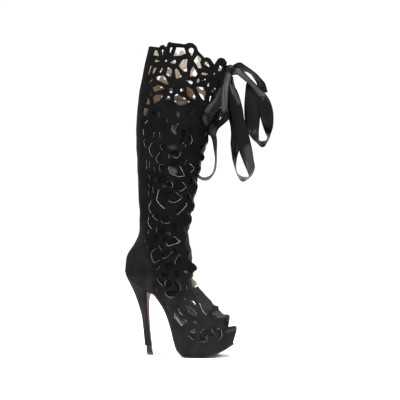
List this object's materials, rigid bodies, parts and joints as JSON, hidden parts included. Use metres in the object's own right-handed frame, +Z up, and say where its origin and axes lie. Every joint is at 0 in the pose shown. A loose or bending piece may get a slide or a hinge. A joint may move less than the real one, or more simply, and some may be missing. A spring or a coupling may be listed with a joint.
{
  "type": "knee-high platform boot",
  "caption": "Right knee-high boot with a flower cut-out shaft, open toe, hidden platform and tall covered heel, laced up the front with ribbon tied in a bow.",
  "frame": {"origin": "on the floor under the flat of the forefoot, in the middle plane of the foot", "axes": "+X to the toe, +Y to the inner side of the foot, +Z up"},
  "size_m": [0.2916, 0.1168, 0.5985],
  "materials": {
    "black_suede": "napped suede, matt, with a soft sheen at the edges",
    "platform_suede": "napped suede, matt",
    "rose_leather": "smooth, muted dusty rose",
    "nude_leather": "smooth lining leather, satin",
    "heel_suede": "napped suede stretched over the heel, matt",
    "black_gloss": "glossy black",
    "black_satin": "satin ribbon with a soft sheen along its middle"
  },
  "bodies": {
    "root": {"upper": "black_suede", "platform": "platform_suede", "outsole": "rose_leather", "insole": "nude_leather", "heel": "heel_suede", "heel_tip": "black_gloss", "ribbon_lacing": "black_satin", "ribbon_knot": "black_satin", "ribbon_lead_outer": "black_satin", "ribbon_lead_inner": "black_satin", "ribbon_loop_short": "black_satin", "ribbon_loop_long": "black_satin", "ribbon_tail": "black_satin"}
  },
  "joints": []
}
